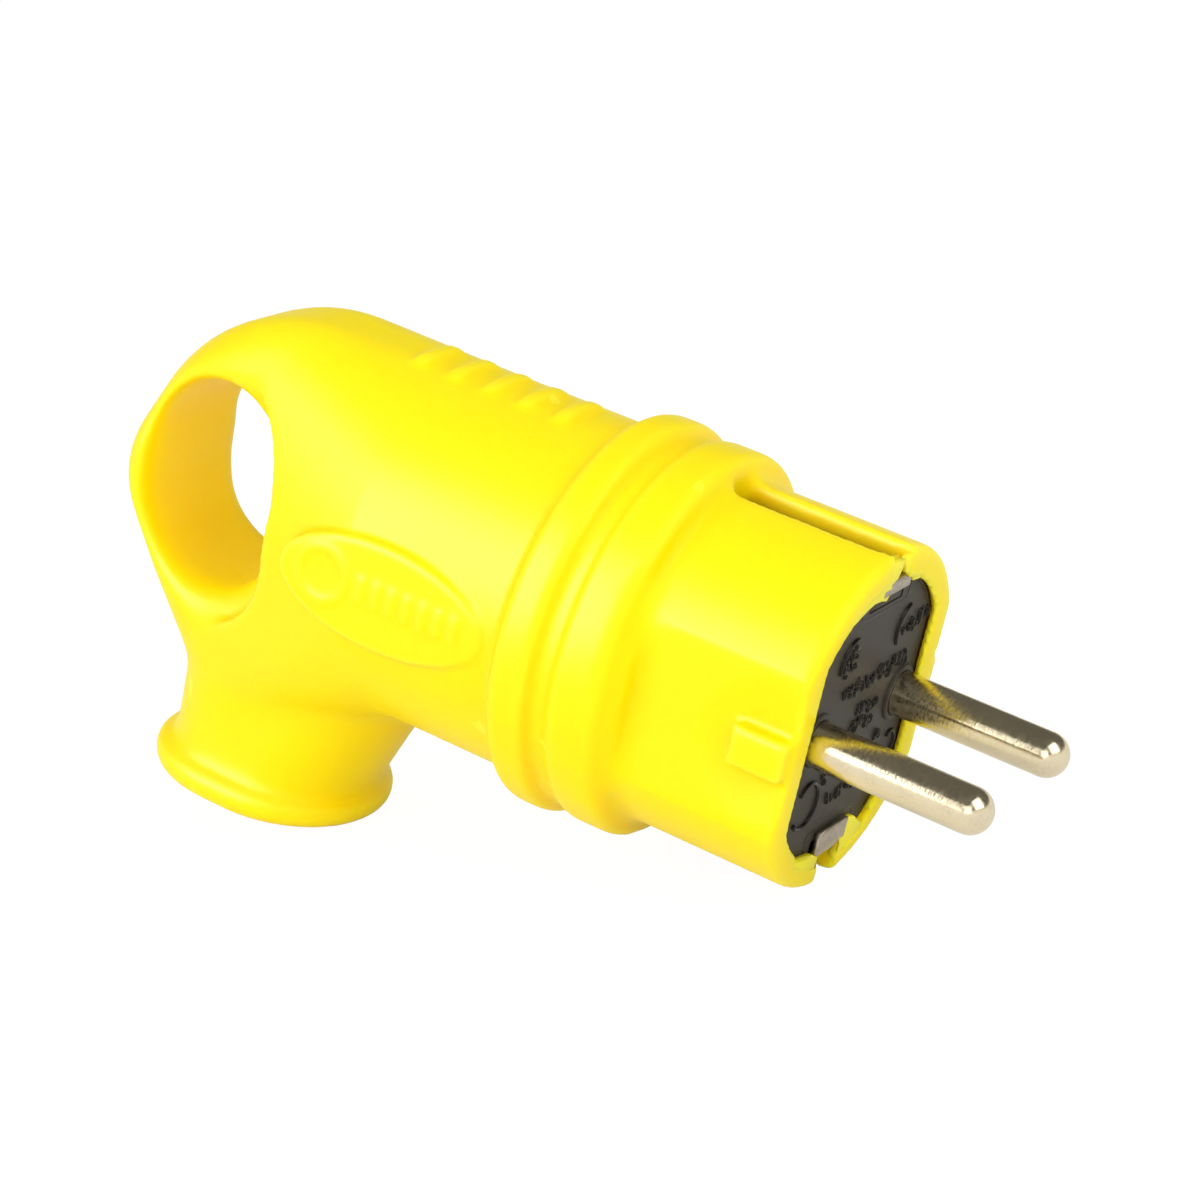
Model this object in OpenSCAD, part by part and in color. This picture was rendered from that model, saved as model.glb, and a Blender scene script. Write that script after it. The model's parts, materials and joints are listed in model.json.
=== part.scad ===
// Angled two-pole mains plug with side earth contacts, in a rubber housing with a finger ring.
// Everything is modelled in the plug's own frame: the plug axis is X with the pins towards +X,
// Y runs across the two pins, and the front rim of the nose lies at x = 0.
// place() then tips the whole plug onto its nose rim and its cable-entry lip, as it lies at rest.

/* [Nose] */
// Diameter of the round part of the nose
nose_d = 37; // [35:0.5:38]
// Width of the nose across its two side flats
nose_flat_w = 32.6; // [31.8:0.2:34]
// Length of the nose, from the front collar to the rim
nose_len = 19.2; // [16:0.2:21]
// Rubber wall round the contact carrier
nose_wall = 2.4; // [1.8:0.1:2.6]
// Rounding of the rim of the nose
rim_round = 0.8; // [0.4:0.1:1.2]
// Width of the earth grooves along the top and bottom of the nose
earth_groove_w = 4; // [3.4:0.2:6.4]
// Length of the guide block on each side flat
guide_len = 6; // [4:0.5:9]
// Height of the guide block
guide_h = 4.2; // [3:0.2:6]
// How far the guide block stands out from the side flat
guide_proud = 1.2; // [0.6:0.1:1.6]
// Depth of the shallow dish in each side flat
dish_depth = 0.7; // [0.3:0.1:1]
// Radius of the dish where it meets the side flat
dish_r = 7.5; // [6:0.5:8.5]

/* [Collars] */
// Diameter of the front sealing collar
front_collar_d = 42; // [40:0.2:46]
// Length of the front collar along the plug
front_collar_len = 4.6; // [3:0.2:7]
// Diameter of the neck between the two collars
collar_neck_d = 40.4; // [38:0.2:42]
// Length of the neck between the two collars
collar_neck_len = 3.2; // [1.5:0.1:5]
// Diameter of the rear sealing collar
rear_collar_d = 43.2; // [41:0.2:48]
// Length of the rear collar along the plug
rear_collar_len = 4.6; // [3:0.2:7]
// Rounding of the collars' outer edges
collar_round = 1.3; // [0.5:0.1:1.4]
// Hollow fillet where the collars meet the nose and the barrel
collar_fillet = 1.4; // [0.5:0.1:2]

/* [Barrel and handle] */
// Diameter of the barrel behind the collars
barrel_d = 38.8; // [37:0.2:40]
// Length of the round barrel behind the rear collar
barrel_len = 20; // [15:0.5:24]
// Width of the handle ring along Y
handle_w = 20.6; // [18:0.2:23]
// Rounding of the handle's outer edges
handle_round = 7.4; // [5:0.2:8.4]
// Radius of the large curve over the top of the handle
handle_top_r = 21; // [19:0.5:22]
// Distance of that curve's centre behind the rim
handle_top_x = 67.5; // [66:0.5:69]
// Radius of the small curve at the rear of the handle
handle_rear_r = 11; // [9:0.5:13]
// Distance of the rearmost point of the handle behind the rim
handle_reach = 90; // [89:0.5:95]
// Height of the rear curve's centre, below the plug axis
handle_rear_drop = 2.5; // [1:0.5:4]
// Radius of the curve where the ring runs into the cable neck
heel_r = 8; // [6:0.5:9]
// Distance of that curve's centre in front of the neck's rear
heel_in = 10; // [8:0.5:11]
// Height of that curve's centre above the neck's mouth
heel_up = 15; // [13:0.5:17]
// Width of the finger hole along the plug
finger_w = 18.6; // [15:0.2:19]
// Height of the finger hole
finger_h = 23.2; // [21:0.2:26]
// Distance of the finger hole's centre behind the rim
finger_x = 76; // [75:0.2:77]
// Height of the finger hole's centre, below the plug axis
finger_drop = 0.9; // [0:0.1:2]
// Rounding of the finger hole's edges
finger_round = 3; // [1.5:0.5:4]
// Length of the raised oval pad on each side of the barrel
pad_len = 25; // [18:1:28]
// Height of the oval pad
pad_h = 11.5; // [8:0.5:13]
// Distance of the pad's centre behind the rim
pad_x = 46.5; // [44:0.5:50]
// How far the pad stands out from the widest line of the barrel
pad_proud = 0.3; // [0.2:0.1:0.8]

/* [Cable entry] */
// Length of the oval cable neck along the plug, at its mouth
neck_len = 23.6; // [22:0.2:26]
// How much longer the neck is at its root, where it runs into the barrel
neck_flare = 7.4; // [4:0.2:8]
// Width of the oval cable neck
neck_w = 20.4; // [18:0.2:22]
// Distance of the neck's root below the plug axis, inside the barrel
neck_root = 15.4; // [13:0.2:17]
// Distance of the neck's centre behind the rim
neck_x = 67.4; // [66:0.2:68.4]
// Distance of the neck's mouth below the plug axis
neck_drop = 35.4; // [34:0.2:38]
// How far the lip of the neck stands out all round
lip_proud = 2; // [1:0.1:3]
// Thickness of the lip
lip_t = 3.6; // [2.6:0.2:5]
// Diameter of the cable hole
cable_d = 11; // [8:0.5:12]
// Length of the cable hole that grips the cable
cable_grip = 12; // [8:0.5:14]
// Distance of the cable hole's centre behind the rim
cable_x = 63.5; // [62:0.5:65]

/* [Contact carrier] */
// Depth of the carrier's face below the rim
face_recess = 0.9; // [0.3:0.1:1.2]
// Diameter of the flange that locks the carrier in the rubber
carrier_flange_d = 36; // [34:0.2:37]
// Thickness of that flange
carrier_flange_t = 3; // [2:0.1:4]
// How far that flange lies behind the front collar's face
flange_in = 0.8; // [0.5:0.1:1.2]
// Clearance round the pieces that sit in a pocket
seat_gap = 0.1; // [0.05:0.01:0.2]

/* [Pins] */
// Diameter of the two contact pins
pin_d = 4.8; // [4:0.1:5]
// Distance between the pins' axes
pin_pitch = 19; // [18:0.1:20]
// Length of each pin in front of the carrier's face
pin_len = 19.4; // [17:0.1:21]
// Diameter of the pin's seat inside the carrier
pin_seat_d = 5.4; // [5.2:0.1:6]
// Thickness of the carrier in front of the pin heads
pin_seat = 8.2; // [6:0.2:10]
// Diameter of the pin's terminal head
head_d = 7.2; // [6.4:0.1:7.4]
// Length of the pin's terminal head
head_len = 12; // [10:0.5:12.5]
// Diameter of the wire hole in the terminal head
wire_d = 3.4; // [2.6:0.1:3.8]
// Depth of the wire hole
wire_depth = 9; // [7:0.5:9.5]

/* [Earth contact] */
// Width of the earth strap
strap_w = 7.3; // [7:0.1:8]
// Thickness of the earth strap
strap_t = 0.8; // [0.6:0.1:1.2]
// Gap between the earth contacts' edges and the rubber round them
strap_play = 0.9; // [0.5:0.1:1.2]
// Radius of the strap's bends
strap_bend = 1.6; // [1.3:0.1:2.5]
// Length of the contacts' ends that are turned in
strap_lip = 2.4; // [1.8:0.1:4]
// Side of the square washer on the earth terminal
washer_w = 7; // [6:0.2:8]
// Thickness of that washer
washer_t = 1; // [0.8:0.1:1.5]

/* [Cord clamp] */
// Thickness of the clamp frame's plate
frame_plate_t = 3; // [2:0.1:4]
// Distance of the clamp's centre behind the frame's plate
clamp_reach = 14; // [11:0.5:15]
// Length of the clamp's saddle along the cable
saddle_len = 8; // [6:0.5:10]
// Width of the saddle
saddle_w = 24; // [22.6:0.2:24.6]
// Width of the two rails that carry the saddle
rail_w = 3; // [2:0.2:4]
// Height of the rails
rail_h = 4; // [3:0.2:6]
// Distance of the saddle's underside below the plug axis
saddle_drop = 9; // [8.2:0.2:9.4]
// Gap between the saddle and the bar, above and below the cable's middle
saddle_gap = 5.2; // [4:0.2:6]
// Thickness of the clamp bar
bar_t = 3.6; // [3:0.2:4.2]
// Length of the clamp bar along the cable
bar_len = 6; // [5:0.5:8]
// Distance between the clamp's two screws
clamp_screw_pitch = 16; // [15.6:0.2:16.6]

/* [Screws] */
// Diameter of the screws' threads
screw_d = 2.9; // [2.5:0.1:3.2]
// Diameter of the screws' round heads
screw_head_d = 5; // [4.4:0.1:5.4]
// Height of the screws' heads
screw_head_h = 2.2; // [1.8:0.1:2.6]
// Width of the screwdriver slots
slot_w = 0.8; // [0.6:0.1:1]
// Width of the clamp nuts across their flats
nut_af = 5.5; // [5:0.1:5.8]
// Thickness of the clamp nuts
nut_t = 2.2; // [1.8:0.1:2.6]
// Distance of the frame's screws inside the outer faces of the earth contacts
frame_screw_in = 5.4; // [4.6:0.1:6]
// Length of the frame's and the earth terminal's screws that bites in the carrier
screw_bite = 7; // [5:0.5:9]

/* [Hidden] */
$fn = 64;

rubber_colour = [1, 0.93, 0];
moulding_colour = [0.2, 0.2, 0.2];
nickel_colour = [0.8, 0.78, 0.74];
brass_colour = [0.8, 0.68, 0.35];
steel_colour = [0.7, 0.7, 0.72];

through = 0.5;          // how far a cut runs past the face that it opens
soft_fn = 32;           // segments of the pieces that are blended by hull
nose_r = nose_d / 2;
barrel_r = barrel_d / 2;
left = 1;
right = -1;

// Stations along the plug, from the nose back
front_collar_back = -nose_len - front_collar_len;
rear_collar_front = front_collar_back - collar_neck_len;
rear_collar_back = rear_collar_front - rear_collar_len;
barrel_back = rear_collar_back - barrel_len;

// Handle: centres of its curves in the XZ plane
top_c = [-handle_top_x, barrel_r - handle_top_r];
rear_c = [-handle_reach + handle_rear_r, -handle_rear_drop];
heel_c = [-neck_x - neck_len / 2 + heel_in, -neck_drop + heel_up];

// Contact carrier and what sits in it
face_x = -face_recess;
carrier_back = -nose_len - flange_in - carrier_flange_t;
pocket_r = nose_r - nose_wall;
pocket_half_w = nose_flat_w / 2 - nose_wall;
carrier_r = pocket_r - seat_gap;
carrier_half_w = pocket_half_w - seat_gap;
head_front = face_x - pin_seat;
head_back = head_front - head_len;
terminal_x = head_back + wire_depth / 2;
pin_y = pin_pitch / 2;
running_gap = 0.05;     // clearance of a shank in its hole
screw_r = screw_d / 2;
screw_hole = screw_bite + 1;
strap_top = sqrt(pow(pocket_r, 2) - pow(strap_w / 2, 2)) - strap_play;
frame_screw_z = strap_top - frame_screw_in;
strap_back = carrier_back - strap_t;
terminal_head_z = head_d / 2 + seat_gap;

// Clamp frame and wiring space
frame_r = pocket_r - 1;
plate_back = strap_back - frame_plate_t;
clamp_x = plate_back - clamp_reach;
cable_r = cable_d / 2;
trough_r = cable_r - 0.3;
clamp_screw_y = clamp_screw_pitch / 2;
bar_low = saddle_gap / 2;
bar_top = bar_low + bar_t;
space_r = frame_r + 0.3;
space_back = clamp_x - saddle_len / 2 - 1;
throat_r = cable_r + 0.5;
throat_z = -neck_drop + cable_grip + sqrt(pow(throat_r, 2) - pow(cable_r, 2));

// Rest: the plug lies on the nose rim beside the lower earth groove and on the lip's front edge
lip_round = lip_t / 2 - 0.1;
nose_touch = [-rim_round, -sqrt(pow(nose_r - rim_round, 2) - pow(earth_groove_w / 2, 2))];
lip_touch = [-neck_x + neck_len / 2 + lip_proud - lip_round, -neck_drop + lip_round];
touch_gap = nose_touch - lip_touch;
pitch = atan2(touch_gap.y, touch_gap.x) + asin((lip_round - rim_round) / norm(touch_gap));
function tip_x(p) = p.x * cos(pitch) + p.y * sin(pitch);
function tip_z(p) = -p.x * sin(pitch) + p.y * cos(pitch);
rest_z = tip_z(nose_touch) - rim_round;
front_end = tip_x([face_x + pin_len - pin_d / 2, 0]) + pin_d / 2;
lip_heel = [-neck_x - neck_len / 2 - lip_proud + lip_round, -neck_drop + lip_round];
rear_end = min(tip_x(rear_c) - handle_rear_r, tip_x(lip_heel) - lip_round);

// Puts a piece from the plug's own frame to where it lies at rest
module place() {
    translate([-(front_end + rear_end) / 2, 0, -rest_z]) rotate([0, pitch, 0]) children();
}

// Revolves an outline of [radius, station] about the plug axis
module turned() {
    rotate([0, 90, 0]) rotate_extrude() children();
}

// A rod along the plug axis from one station to another
module rod_x(r, from, to) {
    translate([min(from, to), 0, 0]) rotate([0, 90, 0]) cylinder(r = r, h = abs(to - from));
}

// Outline of a turned band with rounded outer edges
module band_2d(from, to, r, edge) {
    translate([0, from]) square([r - edge, to - from]);
    translate([0, from + edge]) square([r, to - from - 2 * edge]);
    for (y = [from + edge, to - edge]) translate([r - edge, y]) circle(edge);
}

// Outline of a hollow fillet standing on radius r; dir says on which side of the step it lies
module cove_2d(r, station, size, dir) {
    difference() {
        translate([r - through, min(station, station + dir * size)]) square([size + through, size]);
        translate([r + size, station + dir * size]) circle(size);
    }
}

// Flat outline with rounded corners, between two corners
module rounded_2d(low, high, r) {
    translate([low.x + r, low.y]) square([high.x - low.x - 2 * r, high.y - low.y]);
    translate([low.x, low.y + r]) square([high.x - low.x, high.y - low.y - 2 * r]);
    for (x = [low.x + r, high.x - r], y = [low.y + r, high.y - r]) translate([x, y]) circle(r);
}

// A disc across the plug with rounded edges, used for the curves of the handle
module puck(c, r) {
    translate([c.x, 0, c.y]) rotate([90, 0, 0]) rotate_extrude($fn = 2 * soft_fn) intersection() {
        band_2d(-handle_w / 2, handle_w / 2, r, handle_round, $fn = soft_fn);
        translate([0, -handle_w]) square([r, 2 * handle_w]);
    }
}

// An oval bar down the cable neck, with rounded edges
module oval_bar(len, w, low, high, edge) {
    run = (len - w) / 2;
    for (x = [-run, run]) translate([x, 0, 0]) rotate_extrude() band_2d(low, high, w / 2, edge);
    rotate([90, 0, 90]) linear_extrude(2 * run, center = true) {
        band_2d(low, high, w / 2, edge);
        mirror([1, 0]) band_2d(low, high, w / 2, edge);
    }
}

// The nose with its flats, without its grooves
module nose_block() {
    intersection() {
        turned() band_2d(-nose_len - 2 * rim_round, 0, nose_r, rim_round);
        linear_extrude(nose_d + 2, center = true)
            rounded_2d([-2 * nose_len, -nose_flat_w / 2], [0, nose_flat_w / 2], rim_round);
    }
}

module collars() {
    turned() {
        band_2d(front_collar_back - collar_round, -nose_len, front_collar_d / 2, collar_round);
        translate([0, rear_collar_front]) square([collar_neck_d / 2, collar_neck_len]);
        band_2d(rear_collar_back, rear_collar_front, rear_collar_d / 2, collar_round);
        cove_2d(barrel_r, rear_collar_back, collar_fillet, -1);
    }
}

// Barrel, drawn in to the flat ring of the handle
module barrel_and_handle() {
    rod_x(barrel_r, rear_collar_back, barrel_back);
    hull() {
        rod_x(barrel_r, barrel_back, barrel_back + 2, $fn = 2 * soft_fn);
        puck(top_c, handle_top_r);
        puck(rear_c, handle_rear_r);
        puck(heel_c, heel_r);
    }
}

module cable_neck() {
    translate([-neck_x, 0, 0]) {
        hull() {
            oval_plate(neck_len, -neck_drop + lip_t / 2);
            translate([neck_flare / 2, 0, 0]) oval_plate(neck_len + neck_flare, -neck_root);
        }
        oval_bar(neck_len + 2 * lip_proud, neck_w + 2 * lip_proud, -neck_drop, -neck_drop + lip_t, lip_round);
    }
}

// Thin oval plate across the neck
module oval_plate(len, z) {
    run = (len - neck_w) / 2;
    for (x = [-run, run]) translate([x, 0, z]) cylinder(d = neck_w, h = 1, $fn = 2 * soft_fn);
}

// Oval raised pad on one side of the barrel
module side_pad(side) {
    oval = [for (a = [0:7.5:352.5]) [pad_len / 2 * cos(a), pad_h / 2 * sin(a)]];
    translate([-pad_x, side * (barrel_r + pad_proud) / 2, 0]) rotate([90, 0, 0])
        linear_extrude(barrel_r + pad_proud, center = true) polygon(oval);
}

// Guide block that stands in the dish of one side flat
module guide_block(side) {
    block_w = guide_proud + nose_wall - through;
    translate([-guide_len - rim_round / 2, side * (nose_flat_w / 2 + guide_proud - block_w / 2), 0])
        translate([0, -block_w / 2, -guide_h / 2]) cube([guide_len, block_w, guide_h]);
}

// Shallow round dish in one side flat
module side_dish(side) {
    ball_r = (dish_r * dish_r + dish_depth * dish_depth) / (2 * dish_depth);
    translate([-guide_len / 2, side * (nose_flat_w / 2 - dish_depth + ball_r), 0]) sphere(ball_r, $fn = 128);
}

// The finger hole, flared to rounded edges at both faces of the ring
module finger_hole() {
    hole_r = finger_w / 2;
    run = (finger_h - finger_w) / 2;
    reach = handle_w / 2;
    module mouth_2d() {
        translate([0, -3 * reach]) square([hole_r, 6 * reach]);
        for (side = [left, right]) {
            difference() {
                translate([0, side > 0 ? reach - finger_round : -3 * reach])
                    square([hole_r + finger_round, 2 * reach + finger_round]);
                translate([hole_r + finger_round, side * (reach - finger_round)]) circle(finger_round);
            }
        }
    }
    translate([-finger_x, 0, -finger_drop]) rotate([90, 0, 0]) {
        for (z = [-run, run]) translate([0, z, 0]) rotate_extrude() mouth_2d();
        rotate([90, 0, 0]) linear_extrude(2 * run, center = true) {
            mouth_2d();
            mirror([1, 0]) mouth_2d();
        }
    }
}

// Everything that is hollow inside the rubber: the carrier's pocket, the wiring space, the cable hole
module inner_space() {
    intersection() {
        rod_x(pocket_r, carrier_back, through);
        translate([-nose_d, -pocket_half_w, -nose_r]) cube([nose_d + through, 2 * pocket_half_w, nose_d]);
    }
    rod_x(carrier_flange_d / 2 + seat_gap, carrier_back, carrier_back + carrier_flange_t + seat_gap);
    rod_x(space_r, carrier_back, space_back);
    translate([space_back, 0, 0]) sphere(space_r);
    translate([-cable_x, 0, -neck_drop - through]) cylinder(r = cable_r, h = throat_z + neck_drop + through);
    translate([-cable_x, 0, throat_z]) sphere(throat_r);
    hull() {
        translate([-cable_x, 0, throat_z]) sphere(cable_r, $fn = soft_fn);
        translate([space_back, 0, 0]) sphere(cable_r, $fn = soft_fn);
    }
}

module housing() {
    color(rubber_colour) place() difference() {
        union() {
            difference() {
                nose_block();
                for (side = [left, right]) side_dish(side);
            }
            for (side = [left, right]) guide_block(side);
            turned() cove_2d(nose_r, -nose_len, collar_fillet, 1);
            collars();
            barrel_and_handle();
            cable_neck();
            for (side = [left, right]) side_pad(side);
        }
        finger_hole();
        inner_space();
        for (z = [left, right]) translate([-nose_len, -earth_groove_w / 2, z > 0 ? 0 : -nose_d])
            cube([nose_len + through, earth_groove_w, nose_d]);
    }
}

// A blind or through hole along the plug axis, at a place on the face
module hole_x(r, from, to, y, z) {
    translate([0, y, z]) rod_x(r, from, to);
}

module contact_carrier() {
    color(moulding_colour) place() difference() {
        union() {
            intersection() {
                rod_x(carrier_r, carrier_back, face_x);
                translate([carrier_back, -carrier_half_w, -nose_r]) cube([face_x - carrier_back, 2 * carrier_half_w, nose_d]);
            }
            rod_x(carrier_flange_d / 2, carrier_back, carrier_back + carrier_flange_t);
        }
        for (side = [left, right]) {
            hole_x(pin_seat_d / 2 + running_gap, head_front - through, face_x + through, side * pin_y, 0);
            hole_x(head_d / 2 + seat_gap, carrier_back - through, head_front, side * pin_y, 0);
            translate([terminal_x, side * pin_y, 0]) cylinder(r = screw_head_d / 2 + 2 * seat_gap, h = nose_d);
            hole_x(screw_r + running_gap, carrier_back - through, carrier_back + screw_hole, 0, side * frame_screw_z);
            strap_slot(side);
        }
        hole_x(screw_r + running_gap, carrier_back - through, carrier_back + screw_hole, 0, 0);
    }
}

// Slot in the carrier's edge for one arm of the earth strap, with room for the bends at both its ends
module strap_slot(side) {
    slot_half_w = strap_w / 2 + seat_gap;
    arm_low = strap_top - strap_t - seat_gap;
    bend_low = strap_top - strap_bend - seat_gap;
    lip_low = strap_top - strap_lip - seat_gap;
    lip_back = face_x - strap_bend - seat_gap;
    bend_front = carrier_back + strap_bend - strap_t;
    cuts = [[carrier_back - through, face_x + through, arm_low],
            [carrier_back - through, bend_front, bend_low],
            [lip_back, face_x + through, lip_low]];
    for (cut = cuts) translate([cut[0], -slot_half_w, side > 0 ? cut[2] : -nose_d])
        cube([cut[1] - cut[0], 2 * slot_half_w, nose_d - cut[2]]);
}

// Turned pin: rounded tip, shank, a thicker seat, and a head that is drilled for the wire and its screw
module pin(side) {
    color(nickel_colour) place() translate([0, side * pin_y, 0]) difference() {
        union() {
            rod_x(pin_seat_d / 2, head_front - through, face_x);
            rod_x(pin_d / 2, face_x - through, face_x + pin_len - pin_d / 2);
            translate([face_x + pin_len - pin_d / 2, 0, 0]) sphere(pin_d / 2);
            rod_x(head_d / 2, head_back, head_front);
        }
        rod_x(wire_d / 2, head_back - through, head_back + wire_depth);
        translate([terminal_x, 0, 0]) cylinder(r = screw_r + running_gap, h = head_d);
    }
}

module left_pin() { pin(left); }
module right_pin() { pin(right); }

// Slotted screw that points down -Z, with the underside of its head at z = 0
module slotted_screw(length) {
    color(steel_colour) difference() {
        union() {
            translate([0, 0, -length]) cylinder(r = screw_r, h = length + through);
            rotate_extrude() {
                square([screw_head_d / 2, screw_head_h * 0.6]);
                translate([0, through]) square([screw_head_d / 2 - screw_head_h * 0.4, screw_head_h - through]);
                translate([screw_head_d / 2 - screw_head_h * 0.4, screw_head_h * 0.6]) circle(screw_head_h * 0.4);
            }
        }
        translate([-screw_head_d, -slot_w / 2, screw_head_h * 0.5]) cube([2 * screw_head_d, slot_w, screw_head_h]);
    }
}

module terminal_screw(side) {
    place() translate([terminal_x, side * pin_y, terminal_head_z])
        slotted_screw(terminal_head_z - wire_d / 2 + 0.4);
}

module left_terminal_screw() { terminal_screw(left); }
module right_terminal_screw() { terminal_screw(right); }

// One folded strip: two contacts along the nose, their front ends turned in, and a cross piece behind
module earth_strap() {
    color(nickel_colour) place() difference() {
        rotate([90, 0, 0]) linear_extrude(strap_w, center = true) difference() {
            rounded_2d([strap_back, -strap_top], [face_x, strap_top], strap_bend);
            rounded_2d([strap_back + strap_t, -strap_top + strap_t],
                       [face_x - strap_t, strap_top - strap_t], strap_bend - strap_t);
            translate([face_x - strap_bend, -strap_top + strap_lip])
                square([2 * strap_bend, 2 * (strap_top - strap_lip)]);
        }
        for (z = [-frame_screw_z, 0, frame_screw_z])
            hole_x(screw_r + seat_gap, strap_back - through, carrier_back + through, 0, z);
    }
}

// Square washer that clamps the earth wire on the strap's cross piece
module earth_washer() {
    color(brass_colour) place() difference() {
        translate([strap_back - washer_t, -washer_w / 2, -washer_w / 2]) cube([washer_t, washer_w, washer_w]);
        hole_x(screw_r + seat_gap, strap_back - washer_t - through, strap_back + through, 0, 0);
    }
}

// Screw along the plug axis from behind, with its head on the given station
module rear_screw(station, length, z) {
    place() translate([station, 0, z]) rotate([0, -90, 0]) slotted_screw(length);
}

module earth_screw() { rear_screw(strap_back - washer_t, strap_t + washer_t + screw_bite, 0); }
module upper_frame_screw() { rear_screw(plate_back, strap_t + frame_plate_t + screw_bite, frame_screw_z); }
module lower_frame_screw() { rear_screw(plate_back, strap_t + frame_plate_t + screw_bite, -frame_screw_z); }

// Plate behind the strap that holds the pins in, with the cord clamp's saddle on two rails
module clamp_frame() {
    window = washer_w / 2 + 1;
    color(moulding_colour) place() difference() {
        union() {
            rod_x(frame_r, plate_back, strap_back);
            for (side = [left, right]) {
                hole_x(head_d / 2 - 0.2, strap_back - through, head_back - seat_gap, side * pin_y, 0);
                translate([clamp_x, side * (saddle_w / 2 - rail_w / 2) - rail_w / 2, -saddle_drop])
                    cube([clamp_reach + through, rail_w, rail_h]);
            }
            translate([clamp_x - saddle_len / 2, -saddle_w / 2, -saddle_drop])
                cube([saddle_len, saddle_w, saddle_drop - saddle_gap / 2]);
        }
        for (side = [left, right]) {
            hole_x(wire_d / 2, plate_back - through, head_back + through, side * pin_y, 0);
            hole_x(screw_r + seat_gap, plate_back - through, strap_back + through, 0, side * frame_screw_z);
            translate([clamp_x, side * clamp_screw_y, -saddle_drop - through]) {
                cylinder(r = screw_r + seat_gap, h = saddle_drop);
                cylinder(r = (nut_af / 2 + seat_gap) / cos(30), h = nut_t + through, $fn = 6);
            }
        }
        translate([plate_back - through, -window, -window]) cube([frame_plate_t + 2 * through, 2 * window, 2 * window]);
        rod_x(trough_r, clamp_x - saddle_len, clamp_x + saddle_len);
    }
}

module cord_clamp_bar() {
    color(moulding_colour) place() difference() {
        translate([clamp_x - bar_len / 2, 0, 0]) rotate([90, 0, 90]) linear_extrude(bar_len)
            rounded_2d([-saddle_w / 2 + 0.4, bar_low], [saddle_w / 2 - 0.4, bar_top], 1);
        rod_x(trough_r, clamp_x - bar_len, clamp_x + bar_len);
        for (side = [left, right]) translate([clamp_x, side * clamp_screw_y, 0])
            cylinder(r = screw_r + seat_gap, h = bar_top + through);
    }
}

module clamp_screw(side) {
    place() translate([clamp_x, side * clamp_screw_y, bar_top]) slotted_screw(bar_top + saddle_drop - 0.2);
}

module left_clamp_screw() { clamp_screw(left); }
module right_clamp_screw() { clamp_screw(right); }

module clamp_nut(side) {
    color(steel_colour) place() translate([clamp_x, side * clamp_screw_y, -saddle_drop]) difference() {
        cylinder(r = nut_af / 2 / cos(30), h = nut_t, $fn = 6);
        translate([0, 0, -through]) cylinder(r = screw_r + running_gap, h = nut_t + 2 * through);
    }
}

module left_clamp_nut() { clamp_nut(left); }
module right_clamp_nut() { clamp_nut(right); }

housing();
contact_carrier();
left_pin();
right_pin();
left_terminal_screw();
right_terminal_screw();
earth_strap();
earth_washer();
earth_screw();
clamp_frame();
upper_frame_screw();
lower_frame_screw();
cord_clamp_bar();
left_clamp_screw();
right_clamp_screw();
left_clamp_nut();
right_clamp_nut();
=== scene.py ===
"""Looks of the angled earthed mains plug: the moulded yellow rubber housing with its soft corners and
raised grips, the dark contact insert with its moulding marks, turned nickel pins, earth contacts,
and a plain pale studio. Sizes and places on the plug are in millimetres on the plug's own axes: forward
along the pins from the nose rim, left, and up. The studio's sizes are in metres in the model's frame."""

import json
import math
import random

import bmesh
import bpy
from mathutils import Matrix, Vector
from mathutils.bvhtree import BVHTree


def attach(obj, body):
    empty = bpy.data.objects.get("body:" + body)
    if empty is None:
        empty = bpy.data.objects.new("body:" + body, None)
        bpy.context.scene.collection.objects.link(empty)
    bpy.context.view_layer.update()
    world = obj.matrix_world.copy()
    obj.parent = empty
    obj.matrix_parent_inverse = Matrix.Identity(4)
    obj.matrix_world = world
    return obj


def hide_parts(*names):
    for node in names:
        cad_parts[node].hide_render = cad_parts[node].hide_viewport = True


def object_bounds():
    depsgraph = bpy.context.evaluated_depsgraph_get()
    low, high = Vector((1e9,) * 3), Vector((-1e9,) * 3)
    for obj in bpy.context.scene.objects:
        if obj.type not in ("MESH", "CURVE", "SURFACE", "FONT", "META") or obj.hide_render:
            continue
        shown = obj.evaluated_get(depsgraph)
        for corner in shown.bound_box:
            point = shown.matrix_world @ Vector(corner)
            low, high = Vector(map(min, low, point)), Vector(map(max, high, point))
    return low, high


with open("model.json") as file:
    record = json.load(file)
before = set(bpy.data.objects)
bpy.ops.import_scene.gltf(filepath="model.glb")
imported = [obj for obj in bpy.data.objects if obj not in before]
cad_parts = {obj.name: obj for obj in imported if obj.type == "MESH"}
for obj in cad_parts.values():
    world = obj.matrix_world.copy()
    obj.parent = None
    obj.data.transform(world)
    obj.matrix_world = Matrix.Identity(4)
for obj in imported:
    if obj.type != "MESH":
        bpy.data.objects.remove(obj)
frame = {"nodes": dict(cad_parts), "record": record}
cad_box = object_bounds()

MM = 0.001

# ---------------------------------------------------------------- sizes, in millimetres

PIN_MIDDLE = 7.6            # the pin mounts lie this far in front of the nose rim
PIN_HALF_PITCH = 9.5
PIN_RADIUS = 2.4
TIP_START = 15.6            # the polished tips start here
FACE = -0.9                 # the insert's face, behind the rim
NOSE_RADIUS = 18.5
NOSE_HALF_WIDTH = 16.3      # between the nose's two flats
COLLAR_FRONT = -19.2        # the flats run into the front collar here
BARREL_RADIUS = 19.4
DROP = 12.0                 # raised details are dropped onto the surface from this far outside it

SKIN_VOXEL = 0.36           # how finely the rubber skin is remeshed
SKIN_SOFTENING = 8          # passes that round its corners
SKIN_SHARE = 0.43           # share of the remeshed faces that is kept
FLOW_PASSES = 150           # further passes where the moulding flows together
FLOW_STEPS = 12             # levels of that flow

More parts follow.
